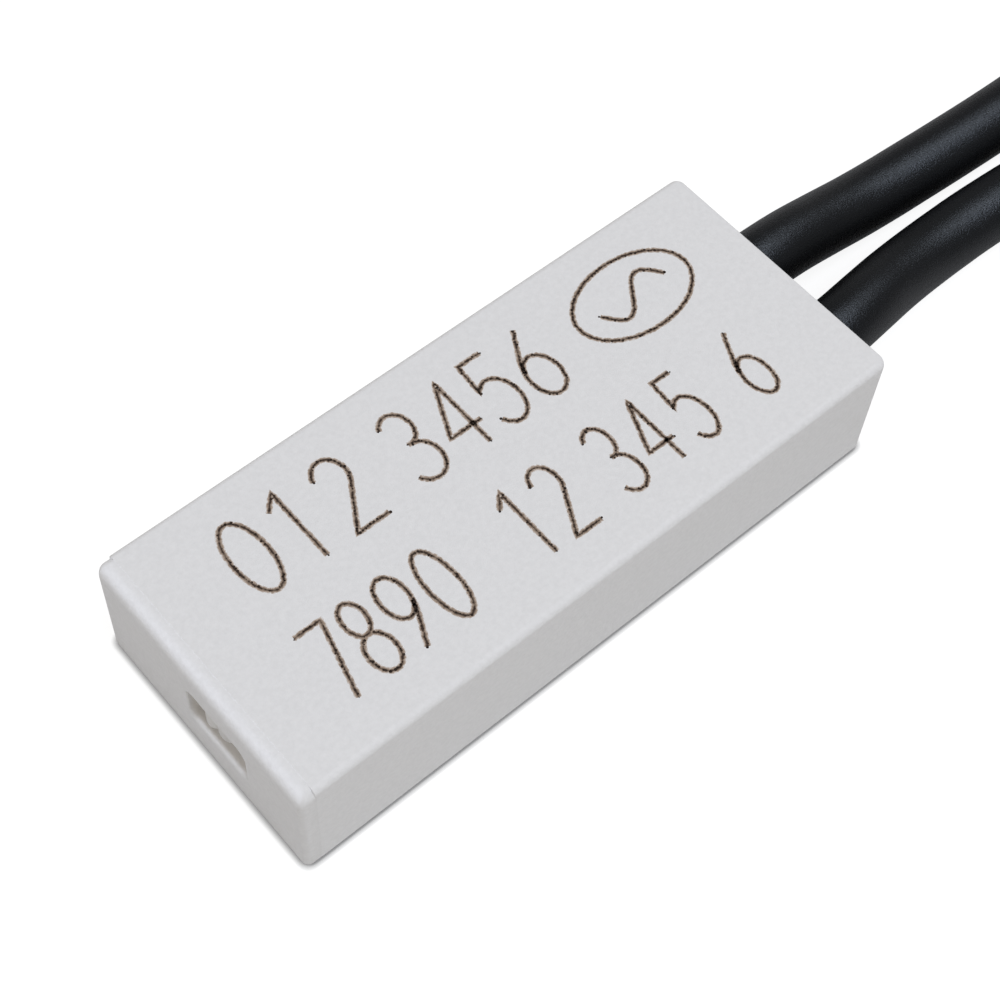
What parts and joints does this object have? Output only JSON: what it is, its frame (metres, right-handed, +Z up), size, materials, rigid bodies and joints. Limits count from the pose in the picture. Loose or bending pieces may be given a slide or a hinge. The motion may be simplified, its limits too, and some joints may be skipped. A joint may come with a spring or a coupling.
{
  "type": "encapsulated bimetal disc thermostat",
  "caption": "Flat white plastic block with a slotted closed end and black insulated leads from the potted end, for switching a circuit off when it gets too hot.",
  "frame": {"origin": "centre of the case's flat bottom face; the leads are left out of that centre", "axes": "+X along the case toward the lead end, +Y across it toward lead A, +Z up out of the marked top face"},
  "size_m": [0.0494, 0.0308, 0.0038],
  "materials": {
    "case_plastic": "white moulded plastic, fine matt surface, brown laser marks on top",
    "carrier_plastic": "natural moulded plastic",
    "plug_rubber": "grey moulded rubber",
    "resin": "cast potting resin, smooth, slightly domed",
    "terminal_brass": "stamped strip, bare",
    "spring_bronze": "thin rolled spring strip",
    "contact_silver": "silver alloy contact face",
    "clamp_steel": "small stamped steel plate",
    "bimetal": "rolled bimetal strip, punched and domed",
    "sheet_film": "thin insulating film",
    "lead_black": "black extruded insulation, satin with fine grain",
    "tinned_copper": "tinned stranded copper"
  },
  "bodies": {
    "housing": {"case": "case_plastic", "carrier": "carrier_plastic", "inner_plug": "plug_rubber", "potting": "resin", "fixed_terminal": "terminal_brass", "arm_terminal": "terminal_brass", "fixed_contact": "contact_silver", "bimetal_disc": "bimetal", "insulating_sheet": "sheet_film", "lead_a_core": "tinned_copper", "lead_b_core": "tinned_copper", "lead_a": "lead_black", "lead_b": "lead_black", "lead_a_bare_end": "tinned_copper", "lead_b_bare_end": "tinned_copper"},
    "arm": {"contact_arm": "spring_bronze", "moving_contact": "contact_silver", "arm_clamp_plate": "clamp_steel", "arm_rivet": "terminal_brass"}
  },
  "joints": [
    {"name": "contact_arm_lift", "type": "hinge", "parent": "housing", "child": "arm", "pos_m": [0.003, 0.0009, 0.0022], "axis": [0, 1, 0], "range_deg": [0, 2.3], "stiffness_Nm_per_rad": 0.008, "springref_deg": -5.73}
  ]
}
